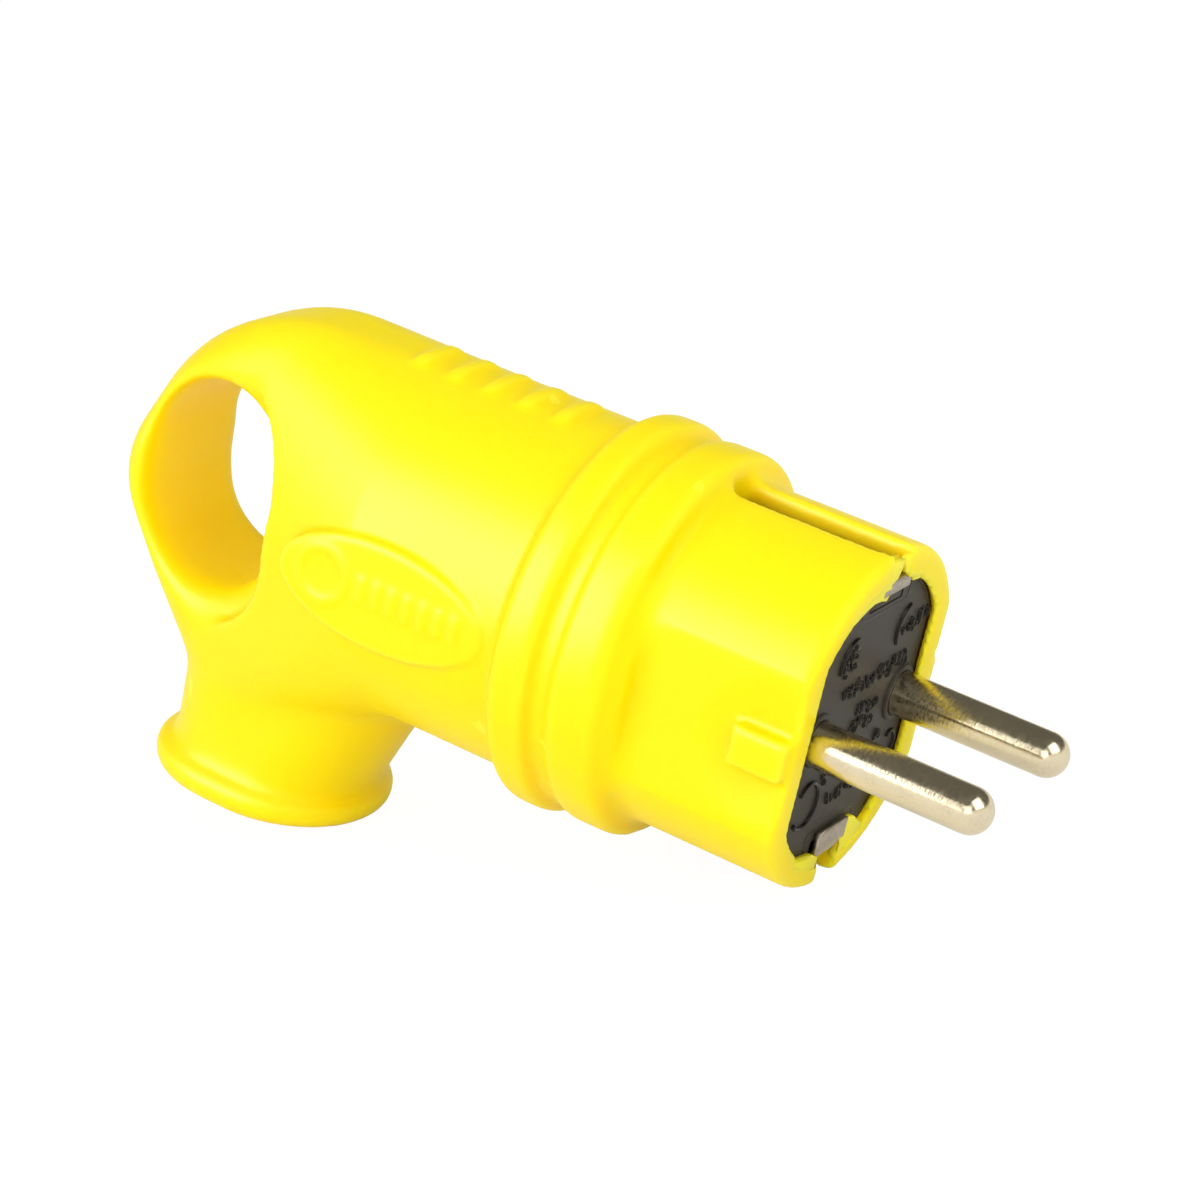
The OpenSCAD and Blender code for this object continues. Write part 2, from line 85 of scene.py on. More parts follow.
# Where the moulding flows together. Each pair is where a stretch starts to fade, and where it has faded.
FINGER_HOLE = -76.0, -0.9   # middle of the finger hole, forward and up
FINGER_HALF = 9.3, 11.6
RIM_RING = 1.35, 1.7        # out from that middle, in half sizes of the hole
RIM_MIDDLE = 3.5, 6.5       # the middle of the handle's width stays out of it
RIM_FRONT = -74.0, -69.0
ROOT_FRONT = -54.0, -44.0   # the neck's root, forward
ROOT_FOOT = 29.5, 33.0      # and down
ROOT_TOP = 13.5, 17.5       # what is higher stays out of it
GROOVE_FLOW = 0.2           # share of the passes in the earth grooves
GROOVE_SIDES = 4.0, 6.0
GROOVE_FLOOR = 14.5, 16.0   # what is nearer to the axis stays out of it
GROOVE_REAR = 21.0, 24.0
GROOVE_MOUTH = 1.2, 3.0     # the rim stays out of it
FLAT_FLOW = 0.4             # share of the passes where the flats meet the front collar
FLAT_SIDES = 14.0, 15.5     # what is nearer to the axis stays out of it
FLAT_HEIGHT = 11.0, 14.0
FLAT_STATIONS = 2.0, 4.5    # to both sides of the collar's front

LIP_RADIUS = 15.3           # inner edge of the rubber lip round the insert's face
LIP_HALF_WIDTH = 12.5
LIP_ROOT = 1.2              # the lip starts this far inside the nose's surface
SLOT_HALF_WIDTH = 2.0       # the upper earth groove through that lip
NOTCH_HALF_WIDTH = 8.4      # and the wider notch below
FLASH_ROLL = 0.16           # how far the edges of the flash are rolled over

STRIP_HALF_WIDTH = 3.2      # folded strip of the earth contacts
STRIP_THICKNESS = 0.8
STRIP_BEND = 1.1
STRIP_REACH = 15.2          # from the plug axis to the middle of the strip
STRIP_FRONT = -0.5
STRIP_LIPS = 14.1, -12.2    # heights at which its folded ends stop
STRIP_STEP = -18.0, -20.0   # between these it steps in by its own thickness
STRIP_CROSS = -23.4         # its cross piece behind the insert
SEATS = (12.4, 14.6), (-13.2, -12.4)    # heights between which the insert stands before those ends
SEAT_HALF_WIDTH = 3.5
# the painted shade of the groove round such a seat, a dark line, as places to the left and up
SEAT_GROOVE_SHADE = (-5.3, 14.6), (-5.3, 11.7), (5.3, 11.7), (5.3, 14.6)

GRIP_FIRST = -38.6          # first raised grip on top of the barrel
GRIP_STEP = -4.4
GRIP_COUNT = 5
GRIP_HALF_LEN = 4.6
GRIP_HALF_WIDTH = 1.25
GRIP_HEIGHT = 0.75

PAD_MIDDLE = 0.3            # raised details on the oval pads of the barrel's sides
PAD_RING = -53.4
PAD_RING_R = 2.9
PAD_RING_HALF_WIDTH = 0.4
PAD_LINE = 0.42             # how high the ring and the ribs stand
PAD_RIBS = 7
PAD_RIB_FIRST = -48.6
PAD_RIB_STEP = 1.9
PAD_RIB_HALF_LEN = 1.7
PAD_RIB_HALF_WIDTH = 0.5

# ---------------------------------------------------------------- colours, linear

RUBBER_YELLOW = (1.0, 0.78, 0.0, 1)
# a deeper yellow: random tone over the rubber, and painted shade in inner corners
RUBBER_DEEP = (0.98, 0.69, 0.0, 1)
RUBBER_PALE = (1.0, 0.93, 0.06, 1)
RUBBER_PAINTED_BOUNCE_SHADE = (1.0, 0.5, 0.0, 1)      # painted bounce light and shade where rubber shines on rubber
INSERT_GREY = (0.038, 0.032, 0.023, 1)
INSERT_SCUFF = (0.07, 0.066, 0.06, 1)
MARK_BLACK = (0.004, 0.0035, 0.003, 1)
MARK_GREY = (0.02, 0.018, 0.015, 1)
# warm pin nickel: the warmth is partly the plating's own and partly painted reflection of the yellow rubber
NICKEL_WARM = (0.66, 0.55, 0.38, 1)
NICKEL_BRIGHT = (0.80, 0.70, 0.49, 1)
STRIP_NICKEL = (0.46, 0.40, 0.32, 1)
STRIP_DULL = (0.30, 0.26, 0.20, 1)
ZINC_GREY = (0.58, 0.59, 0.61, 1)
ZINC_DULL = (0.40, 0.41, 0.43, 1)
BRASS_YELLOW = (0.72, 0.52, 0.22, 1)
BRASS_BROWN = (0.45, 0.30, 0.12, 1)
PAINTED_CREASE_SHADE_SHARE = 0.5          # how far inner corners turn to the deep colour, as painted shade in creases
WORN_SHARE = 0.45           # and outer edges to the pale one
PAINTED_BOUNCE_SHADE_SHARE = 0.85         # and rubber with rubber all round it to orange, as painted bounce light and shade
PAINTED_BOUNCE_SHADE_REACH = 11           # how near that rubber is, in millimetres
WHITE = (1, 1, 1, 1)
FLOOR_GREY = (0.86, 0.86, 0.86, 1)
ROOM_CREAM = (1.0, 0.97, 0.9, 1)        # what metal sees of the room


# ---------------------------------------------------------------- the plug's own axes

def plug_axes():
    """Matrix from the plug's own axes, in millimetres, to the frame."""
    pins = [m for m in frame["record"]["mounts"] if m["kind"] == "pin"]
    forward = Vector(pins[0]["axis"]).normalized()
    left = Vector((0, 1, 0))
    up = forward.cross(left)
    middle = (Vector(pins[0]["pos_m"]) + Vector(pins[1]["pos_m"])) / 2
    rim = middle - forward * PIN_MIDDLE * MM
    turn = Matrix((forward, left, up)).transposed().to_4x4()
    return Matrix.Translation(rim) @ turn @ Matrix.Scale(MM, 4)


PLUG = plug_axes()
PLUG_TURN = PLUG.to_3x3() * (1 / MM)
FORWARD, LEFTWARD, UPWARD = (1, 0, 0), (0, 1, 0), (0, 0, 1)


def on_plug(forward, left, up):
    return PLUG @ Vector((forward, left, up))


# ---------------------------------------------------------------- shader building

def add(tree, kind, links=(), **values):
    """A new node with its settings, and its inputs set or linked."""
    made = tree.nodes.new(kind)
    for name, value in values.items():
        setattr(made, name, value)
    for socket, source in dict(links).items():
        if isinstance(source, bpy.types.NodeSocket):
            tree.links.new(source, made.inputs[socket])
        else:
            made.inputs[socket].default_value = source
    return made


def effect(name, inputs, outputs):
    """An empty node group with named inputs and outputs."""
    tree = bpy.data.node_groups.new(name, "ShaderNodeTree")
    for label, value in inputs.items():
        socket = tree.interface.new_socket(label, in_out="INPUT", socket_type="NodeSocketFloat")
        socket.default_value = value
    for label in outputs:
        tree.interface.new_socket(label, in_out="OUTPUT", socket_type="NodeSocketFloat")
    return tree, add(tree, "NodeGroupInput"), add(tree, "NodeGroupOutput")


def scaled_place(tree, size):
    """Place on the object divided by a size in millimetres."""
    coordinates = add(tree, "ShaderNodeTexCoord")
    share = add(tree, "ShaderNodeMath", {0: 1 / MM, 1: size}, operation="DIVIDE")
    return add(tree, "ShaderNodeVectorMath",
               {0: coordinates.outputs["Object"], "Scale": share.outputs[0]},
               operation="SCALE").outputs[0]


def moulded_grain():
    """Fine spark-eroded grain on a slow waviness, as moulded rubber and plastic have."""
    tree, given, result = effect("moulded_grain", {"Grain": 0.2, "Wave": 5.0, "Wave share": 0.5}, ["Height"])
    fine = add(tree, "ShaderNodeTexNoise",
               {"Vector": scaled_place(tree, given.outputs["Grain"]), "Scale": 1.0, "Detail": 3.0,
                "Roughness": 0.6})
    slow = add(tree, "ShaderNodeTexNoise",
               {"Vector": scaled_place(tree, given.outputs["Wave"]), "Scale": 1.0, "Detail": 1.0})
    both = add(tree, "ShaderNodeMix",
               {"Factor": given.outputs["Wave share"], "A": fine.outputs[0], "B": slow.outputs[0]})
    tree.links.new(both.outputs["Result"], result.inputs["Height"])
    return tree


def edge_mask():
    """How far a spot lies on an outer edge (Edge) or in an inner corner (Hollow)."""
    tree, given, result = effect("edge_mask", {"Softness": 0.06}, ["Edge", "Hollow"])
    geometry = add(tree, "ShaderNodeNewGeometry")
    high = add(tree, "ShaderNodeMath", {0: 0.5, 1: given.outputs["Softness"]}, operation="ADD")
    low = add(tree, "ShaderNodeMath", {0: 0.5, 1: given.outputs["Softness"]}, operation="SUBTRACT")
    edge = add(tree, "ShaderNodeMapRange",
               {"Value": geometry.outputs["Pointiness"], "From Min": 0.505, "From Max": high.outputs[0]})
    hollow = add(tree, "ShaderNodeMapRange",
                 {"Value": geometry.outputs["Pointiness"], "From Min": 0.495, "From Max": low.outputs[0]})
    tree.links.new(edge.outputs[0], result.inputs["Edge"])
    tree.links.new(hollow.outputs[0], result.inputs["Hollow"])
    return tree


def handling_marks():
    """Faint patches and specks that handling leaves."""
    tree, given, result = effect("handling_marks", {"Patch": 9.0, "Speck": 0.5, "Amount": 0.5}, ["Mask"])
    patch = add(tree, "ShaderNodeTexNoise",
                {"Vector": scaled_place(tree, given.outputs["Patch"]), "Scale": 1.0, "Detail": 4.0,
                 "Roughness": 0.65})
    speck = add(tree, "ShaderNodeTexNoise",
                {"Vector": scaled_place(tree, given.outputs["Speck"]), "Scale": 1.0, "Detail": 2.0})
    spread = add(tree, "ShaderNodeMapRange", {"Value": patch.outputs[0], "From Min": 0.42, "From Max": 0.7})
    spots = add(tree, "ShaderNodeMapRange", {"Value": speck.outputs[0], "From Min": 0.35, "From Max": 0.7})
    mixed = add(tree, "ShaderNodeMath", {0: spread.outputs[0], 1: spots.outputs[0]}, operation="MULTIPLY")
    scaled = add(tree, "ShaderNodeMath", {0: mixed.outputs[0], 1: given.outputs["Amount"]},
                 operation="MULTIPLY", use_clamp=True)
    tree.links.new(scaled.outputs[0], result.inputs["Mask"])
    return tree


def turning_marks():
    """Fine rings that a lathe tool leaves round the plug axis, broken up into short strokes. The polished
    tips have none."""
    tree, given, result = effect("turning_marks", {"Pitch": 0.16, "Stroke": 1.4}, ["Height", "Mask"])
    coordinates = add(tree, "ShaderNodeTexCoord")
    along = add(tree, "ShaderNodeVectorMath",
                {0: coordinates.outputs["Object"], 1: tuple(PLUG_TURN.col[0])}, operation="DOT_PRODUCT")
    station = add(tree, "ShaderNodeMath", {0: along.outputs["Value"], 1: 1 / MM}, operation="MULTIPLY")
    turns = add(tree, "ShaderNodeMath",
                {0: station.outputs[0], 1: given.outputs["Pitch"]}, operation="DIVIDE")
    rings = add(tree, "ShaderNodeTexNoise", {"W": turns.outputs[0], "Scale": 1.0, "Detail": 3.0},
                noise_dimensions="1D")
    place = scaled_place(tree, given.outputs["Stroke"])
    split = add(tree, "ShaderNodeSeparateXYZ", {0: place})
    stretched = add(tree, "ShaderNodeCombineXYZ",
                    {0: turns.outputs[0], 1: split.outputs[1], 2: split.outputs[2]})
    strokes = add(tree, "ShaderNodeTexNoise", {"Vector": stretched.outputs[0], "Scale": 1.0, "Detail": 2.0})
    height = add(tree, "ShaderNodeMix", {"Factor": 0.85, "A": rings.outputs[0], "B": strokes.outputs[0]})
    mask = add(tree, "ShaderNodeMapRange",
               {"Value": height.outputs["Result"], "From Min": 0.4, "From Max": 0.62})
    rim = Vector(PLUG_TURN.col[0]).dot(PLUG.translation) / MM
    turned = add(tree, "ShaderNodeMapRange", {"Value": station.outputs[0], "From Min": rim + TIP_START,
                                              "From Max": rim + TIP_START - 1.2})
    kept = add(tree, "ShaderNodeMath",
               {0: height.outputs["Result"], 1: turned.outputs[0]}, operation="MULTIPLY")
    tree.links.new(kept.outputs[0], result.inputs["Height"])
    tree.links.new(mask.outputs[0], result.inputs["Mask"])
    return tree


GRAIN = moulded_grain()
EDGES = edge_mask()
MARKS = handling_marks()
TURNING = turning_marks()


def material(name, **constants):
    """A Principled material. Numbers that are the same all over are set on the shader itself."""
    made = bpy.data.materials.new(name)
    made.use_nodes = True
    tree = made.node_tree
    tree.nodes.clear()
    surface = add(tree, "ShaderNodeBsdfPrincipled")
    for label, value in constants.items():
        surface.inputs[label.replace("_", " ")].default_value = value
    add(tree, "ShaderNodeOutputMaterial", {"Surface": surface.outputs[0]})
    return made, tree, surface


def place_group(tree, group, **inputs):
    placed = add(tree, "ShaderNodeGroup", node_tree=group)
    for label, value in inputs.items():
        placed.inputs[label.replace("_", " ")].default_value = value
    return placed


def blend(tree, factor, first, second):
    """Colour between two colours or colour sockets."""
    return add(tree, "ShaderNodeMix", {"Factor": factor, 6: first, 7: second}, data_type="RGBA").outputs[2]


def steer(tree, factor, low, high):
    return add(tree, "ShaderNodeMapRange", {"Value": factor, "To Min": low, "To Max": high}).outputs[0]


def bump(tree, surface, height, depth, strength=1.0, under=None):
    """Raises the surface by a height map, depth in millimetres."""
    links = {"Height": height, "Distance": depth * MM, "Strength": strength}
    if under is not None:
        links["Normal"] = under
    raised = add(tree, "ShaderNodeBump", links)
    tree.links.new(raised.outputs[0], surface.inputs["Normal"])
    return raised.outputs[0]


def rubber():
    """Bright yellow moulded rubber: satin, slightly wavy, paler on worn edges, with painted shade that turns
    it deeper in inner corners and more orange where it is hemmed in by rubber."""
    made, tree, surface = material("yellow_rubber", Specular_IOR_Level=0.2, Specular_Tint=(1, 0.96, 0.6, 1),
                                   Subsurface_Weight=0.3, Subsurface_Radius=(1.0, 0.35, 0.02),
                                   Subsurface_Scale=0.003)
    grain = place_group(tree, GRAIN, Grain=0.22, Wave=6.0, Wave_share=0.35)
    edges = place_group(tree, EDGES, Softness=0.05)
    marks = place_group(tree, MARKS, Patch=11.0, Speck=0.45, Amount=0.5)
    shade = add(tree, "ShaderNodeTexNoise",
                {"Vector": add(tree, "ShaderNodeTexCoord").outputs["Object"], "Scale": 70.0, "Detail": 2.0})
    body = blend(tree, steer(tree, shade.outputs[0], 0.0, 0.35), RUBBER_YELLOW, RUBBER_DEEP)
    # painted shade: inner corners turn to the deep colour
    hollow = add(tree, "ShaderNodeMath", {0: edges.outputs["Hollow"], 1: PAINTED_CREASE_SHADE_SHARE}, operation="MULTIPLY")
    body = blend(tree, hollow.outputs[0], body, RUBBER_DEEP)
    # painted shade: rubber hemmed in by rubber, found by ambient occlusion, turns orange as if lit by light
    # bounced off the rubber round it
    painted_bounce_shade_occlusion = add(tree, "ShaderNodeAmbientOcclusion", {"Distance": PAINTED_BOUNCE_SHADE_REACH * MM},
                   samples=8, only_local=True)
    body = blend(tree, steer(tree, painted_bounce_shade_occlusion.outputs["AO"], PAINTED_BOUNCE_SHADE_SHARE, 0.0), body, RUBBER_PAINTED_BOUNCE_SHADE)
    worn = add(tree, "ShaderNodeMath", {0: edges.outputs["Edge"], 1: WORN_SHARE}, operation="MULTIPLY")
    body = blend(tree, worn.outputs[0], body, RUBBER_PALE)
    tree.links.new(body, surface.inputs["Base Color"])
    tree.links.new(steer(tree, marks.outputs["Mask"], 0.38, 0.52), surface.inputs["Roughness"])
    bump(tree, surface, grain.outputs["Height"], 0.06, 0.5)
    return made


def insert_plastic(name, body, scuffed, smooth, rough, gloss):
    """Moulded thermoset with an even grain, a soft gloss and a few light scuffs."""
    made, tree, surface = material(name, Specular_IOR_Level=gloss, Specular_Tint=(1, 0.93, 0.8, 1))
    grain = place_group(tree, GRAIN, Grain=0.12, Wave=3.0, Wave_share=0.4)
    marks = place_group(tree, MARKS, Patch=4.0, Speck=0.25, Amount=0.7)
    colour = blend(tree, marks.outputs["Mask"], body, scuffed)
    tree.links.new(colour, surface.inputs["Base Color"])
    tree.links.new(steer(tree, marks.outputs["Mask"], smooth, rough), surface.inputs["Roughness"])
    bump(tree, surface, grain.outputs["Height"], 0.03, 0.5)
    return made


def plated(name, bright, dull, rough, pitch, depth):
    """Plated metal with the marks of turning or drawing, and duller spots."""
    made, tree, surface = material(name, Metallic=1.0)
    turning = place_group(tree, TURNING, Pitch=pitch, Stroke=0.5)
    marks = place_group(tree, MARKS, Patch=3.0, Speck=0.2, Amount=0.8)
    colour = blend(tree, marks.outputs["Mask"], bright, dull)
    tree.links.new(colour, surface.inputs["Base Color"])
    uneven = steer(tree, turning.outputs["Mask"], rough * 0.75, rough * 1.3)
    tree.links.new(uneven, surface.inputs["Roughness"])
    bump(tree, surface, turning.outputs["Height"], depth, 0.6)
    return made


RUBBER = rubber()
INSERT = insert_plastic("charcoal_insert", INSERT_GREY, INSERT_SCUFF, 0.42, 0.6, 0.15)
MARKING = insert_plastic("glossy_markings", MARK_BLACK, MARK_GREY, 0.2, 0.34, 0.22)
PIN_NICKEL = plated("turned_nickel", NICKEL_BRIGHT, NICKEL_WARM, 0.2, 0.28, 0.02)
STRIP = plated("earth_strip_nickel", STRIP_NICKEL, STRIP_DULL, 0.4, 0.5, 0.01)
ZINC = plated("zinc_plate", ZINC_GREY, ZINC_DULL, 0.3, 0.2, 0.015)
BRASS = plated("plain_brass", BRASS_YELLOW, BRASS_BROWN, 0.32, 0.4, 0.01)

NODE_FINISH = {
    "contact_carrier": INSERT, "clamp_frame": INSERT, "cord_clamp_bar": INSERT,
    "left_pin": PIN_NICKEL, "right_pin": PIN_NICKEL,
    "earth_strap": STRIP, "earth_washer": BRASS,
}


def finish_nodes():
    """Gives every node that stays its own procedural finish."""
    for name, part in frame["nodes"].items():
        chosen = NODE_FINISH.get(name, ZINC if "screw" in name or "nut" in name else RUBBER)
        part.data.materials.clear()
        part.data.materials.append(chosen)


# ---------------------------------------------------------------- mesh building

def new_piece(name, mesh, finish):
    """A shown piece that rides with the plug."""
    piece = bpy.data.objects.new(name, mesh)
    bpy.context.scene.collection.objects.link(piece)
    mesh.materials.clear()
    mesh.materials.append(finish)
    mesh.shade_smooth()
    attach(piece, "root")
    return piece


class Ground:
    """The surface that raised details stand on: points on the plug are dropped onto it."""

    def __init__(self, part):
        self.tree = BVHTree.FromPolygons([v.co.copy() for v in part.data.vertices],
                                         [tuple(p.vertices) for p in part.data.polygons])

    def drop(self, start, towards, fallback):
        """Where a line from a place on the plug first meets the surface."""
        way = (PLUG_TURN @ Vector(towards)).normalized()
        hit = self.tree.ray_cast(PLUG @ Vector(start), way)[0]
        return hit if hit is not None else PLUG @ Vector(fallback)


def raised_pad(bm, middle, along, across, out, half_len, half_width, height, ground=None,
               steps=(12, 8), corner=0.55, root=0.8):
    """A closed raised pad with rounded corners and a rolled edge. Its foot lies root below the ground."""
    middle, along, across, out = map(Vector, (middle, along, across, out))
    out_way = PLUG_TURN @ out
    tops, feet = [], []
    for i in range(steps[0] + 1):
        u = 2 * i / steps[0] - 1
        for j in range(steps[1] + 1):
            v = 2 * j / steps[1] - 1
            spot = middle + along * half_len * u * math.sqrt(1 - corner * v * v / 2) \
                + across * half_width * v * math.sqrt(1 - corner * u * u / 2)
            base = ground.drop(spot + out * DROP, -out, spot) if ground else PLUG @ spot
            rise = height * (1 - max(abs(u), abs(v)) ** 5)
            tops.append(bm.verts.new(base + out_way * rise * MM))
            feet.append(bm.verts.new(base - out_way * root * MM))
    row = steps[1] + 1

    def quad(grid, i, j):
        here, beyond = i * row + j, (i + 1) * row + j
        return [grid[here], grid[beyond], grid[beyond + 1], grid[here + 1]]

    for i in range(steps[0]):
        for j in range(steps[1]):
            bm.faces.new(quad(tops, i, j))
            bm.faces.new(reversed(quad(feet, i, j)))
    rim = [(i, 0) for i in range(steps[0])] + [(steps[0], j) for j in range(steps[1])] \
        + [(i, steps[1]) for i in range(steps[0], 0, -1)] + [(0, j) for j in range(steps[1], 0, -1)]
    for (a, b), (c, d) in zip(rim, rim[1:] + rim[:1]):
        p, q = a * row + b, c * row + d
        bm.faces.new([tops[p], feet[p], feet[q], tops[q]])


def raised_line(bm, points, out, half_width, height, ground=None, closed=True, root=0.5):
    """A closed or open raised line with a round back, along points given on the plug."""
    out = Vector(out)
    out_way = PLUG_TURN @ out
    bases = [ground.drop(Vector(p) + out * DROP, -out, p) if ground else PLUG @ Vector(p) for p in points]
    count = len(bases)
    sections = []
    profile = [(-1, -root), (-1, 0.0), (-0.6, 0.75), (0, 1.0), (0.6, 0.75), (1, 0.0), (1, -root)]
    for i, base in enumerate(bases):
        before = bases[i - 1] if closed or i else base
        after = bases[(i + 1) % count] if closed or i < count - 1 else base
        side = out_way.cross((after - before).normalized()).normalized()
        sections.append([bm.verts.new(base + side * s * half_width * MM
                                      + out_way * (h * height if h > 0 else h) * MM) for s, h in profile])
    runs = range(count if closed else count - 1)
    for i in runs:
        first, second = sections[i], sections[(i + 1) % count]
        for k in range(len(profile)):
            m = (k + 1) % len(profile)
            bm.faces.new([first[k], first[m], second[m], second[k]])
    if not closed:
        bm.faces.new(list(reversed(sections[0])))
        bm.faces.new(sections[-1])


def rounded_path(corners, reach, steps=6, closed=False):
    """Points along straight runs, with each corner rounded off from reach before it to reach after it."""
    corners = [Vector(c) for c in corners]
    points = []
    for i, here in enumerate(corners):
        if not closed and i in (0, len(corners) - 1):
            points.append(here)
            continue
        before, after = corners[i - 1] - here, corners[(i + 1) % len(corners)] - here
        first = here + before.normalized() * min(reach, before.length / 2)
        last = here + after.normalized() * min(reach, after.length / 2)
        for k in range(steps + 1):
            t = k / steps
            points.append(first * (1 - t) ** 2 + here * 2 * t * (1 - t) + last * t * t)
    return points


def join_rings(bm, rings, closed=False):
    """Faces between rings of points, and a lid on both ends unless the rings close on themselves."""
    count = len(rings[0])
    for first, second in zip(rings, rings[1:] + ([rings[0]] if closed else [])):
        for i in range(count):
            j = (i + 1) % count
            bm.faces.new([first[i], first[j], second[j], second[i]])
    if not closed:
        lids = [bm.faces.new(list(reversed(rings[0]))), bm.faces.new(rings[-1])]
        bmesh.ops.triangulate(bm, faces=lids, ngon_method="EAR_CLIP")


def slab(bm, outline, back, front, rolled=0.12):
    """A closed slab across the plug with an outline of (left, up) points, its front edge rolled over."""
    points = [Vector(p) for p in outline]
    area = sum(a.x * b.y - b.x * a.y for a, b in zip(points, points[1:] + points[:1]))
    turn = 1 if area > 0 else -1
    inset = []
    for i, here in enumerate(points):
        way = (points[(i + 1) % len(points)] - here).normalized() + (here - points[i - 1]).normalized()
        inset.append(here + Vector((-way.y, way.x)).normalized() * turn * rolled)
    stations = ((back, points), (front - rolled, points),
                (front - rolled * 0.3, [a.lerp(b, 0.3) for a, b in zip(points, inset)]), (front, inset))
    join_rings(bm, [[bm.verts.new(on_plug(x, p.x, p.y)) for p in line] for x, line in stations])


def folded_strip(bm, corners, bend, half_width, thickness):
    """A strip with rolled edges, folded along a path of (forward, up) corners and level across the plug."""
    path = rounded_path([(x, 0, z) for x, z in corners], bend)
    roll = thickness * 0.4
    section = [(sy * (half_width - roll) + roll * math.cos(a),
                sz * (thickness / 2 - roll) + roll * math.sin(a))
               for sy, sz, start in ((1, 1, 0), (-1, 1, 90), (-1, -1, 180), (1, -1, 270))
               for a in (math.radians(start + 30 * k) for k in range(4))]
    rings = []
    for i, here in enumerate(path):
        way = (path[min(i + 1, len(path) - 1)] - path[max(i - 1, 0)]).normalized()
        out = way.cross(Vector((0, 1, 0)))
        rings.append([bm.verts.new(PLUG @ (here + Vector((0, 1, 0)) * s + out * h)) for s, h in section])
    join_rings(bm, rings)


def turned_ring(bm, left, up, outline, steps=48):
    """A ring turned about a line along the plug, from a closed outline of (forward, radius) points."""
    rings = []
    for i in range(steps):
        a = 2 * math.pi * i / steps
        rings.append([bm.verts.new(on_plug(x, left + r * math.cos(a), up + r * math.sin(a)))
                      for x, r in outline])
    join_rings(bm, rings, closed=True)


def finished(bm, name, finish):
    """Turns what was built into a shown piece."""
    bmesh.ops.recalc_face_normals(bm, faces=bm.faces)
    mesh = bpy.data.meshes.new(name)
    bm.to_mesh(mesh)
    bm.free()
    return new_piece(name, mesh, finish)


def oval(centre, axes, radii, count=64, start=0.0, sweep=2 * math.pi):
    """Points round an oval, or along part of it."""
    centre, a, b = Vector(centre), Vector(axes[0]), Vector(axes[1])
    full = abs(sweep - 2 * math.pi) < 1e-6
    return [centre + a * radii[0] * math.cos(t) + b * radii[1] * math.sin(t)
            for t in (start + sweep * i / (count if full else count - 1) for i in range(count))]


def fade(value, near, far):
    """1 up to near, then falling smoothly to 0 at far."""
    t = min(max((value - near) / (far - near), 0), 1)
    return 1 - t * t * (3 - 2 * t)


def flow(place):
    """How far the moulding flows together here: at the rims of the finger hole, the neck's root, the
    earth grooves and where the flats meet the front collar."""
    x, y, z = place
    side, level = abs(y), abs(z)
    hole = math.hypot((x - FINGER_HOLE[0]) / FINGER_HALF[0], (z - FINGER_HOLE[1]) / FINGER_HALF[1])
    rims = fade(hole, *RIM_RING) * (1 - fade(side, *RIM_MIDDLE)) * fade(x, *RIM_FRONT)
    root = fade(x, *ROOT_FRONT) * fade(-z, *ROOT_FOOT) * (1 - fade(-z, *ROOT_TOP))
    groove = GROOVE_FLOW * fade(side, *GROOVE_SIDES) * (1 - fade(level, *GROOVE_FLOOR))
    groove *= fade(-x, *GROOVE_REAR) * (1 - fade(-x, *GROOVE_MOUTH))
    flats = FLAT_FLOW * (1 - fade(side, *FLAT_SIDES)) * fade(level, *FLAT_HEIGHT)
    flats *= fade(abs(x - COLLAR_FRONT), *FLAT_STATIONS)
    return max(rims, root, groove, flats)


def softened(bm, voxel, passes, share):
    """One closed skin round everything in bm: corners rounded, flowing where flow() says, and thinned out."""
    mesh = bpy.data.meshes.new("rubber_skin_raw")
    bmesh.ops.recalc_face_normals(bm, faces=bm.faces)
    bm.to_mesh(mesh)
    bm.free()
    raw = bpy.data.objects.new("rubber_skin_raw", mesh)
    bpy.context.scene.collection.objects.link(raw)
    remesh = raw.modifiers.new("one_skin", "REMESH")
    remesh.mode, remesh.voxel_size = "VOXEL", voxel * MM
    skin = bpy.data.objects.new("rubber_skin", evaluated(raw))
    bpy.context.scene.collection.objects.link(skin)
    shares = [[] for _ in range(FLOW_STEPS + 1)]
    to_plug = PLUG.inverted()
    for vertex in skin.data.vertices:
        shares[round(flow(to_plug @ vertex.co) * FLOW_STEPS)].append(vertex.index)
    group = skin.vertex_groups.new(name="flow")
    for step, indices in enumerate(shares[1:], 1):
        group.add(indices, step / FLOW_STEPS, "REPLACE")
    for name, count, where in (("round_corners", passes, ""), ("flow_together", FLOW_PASSES, "flow")):
        smooth = skin.modifiers.new(name, "SMOOTH")
        smooth.factor, smooth.iterations, smooth.vertex_group = 0.5, count, where
    thin = skin.modifiers.new("thin_out", "DECIMATE")
    thin.ratio = share
    return evaluated(skin)


def evaluated(made):
    """The mesh of an object with its modifiers; the object goes."""
    graph = bpy.context.evaluated_depsgraph_get()
    result = bpy.data.meshes.new_from_object(made.evaluated_get(graph))
    first = made.data
    bpy.data.objects.remove(made)
    bpy.data.meshes.remove(first)
    return result


# ---------------------------------------------------------------- pieces

def barrel_grips(bm, ground):
    """Raised oblong grips across the top of the barrel."""
    for i in range(GRIP_COUNT):
        station = GRIP_FIRST + GRIP_STEP * i
        raised_pad(bm, (station, 0, BARREL_RADIUS), LEFTWARD, FORWARD, UPWARD,
                   GRIP_HALF_LEN, GRIP_HALF_WIDTH, GRIP_HEIGHT, ground)


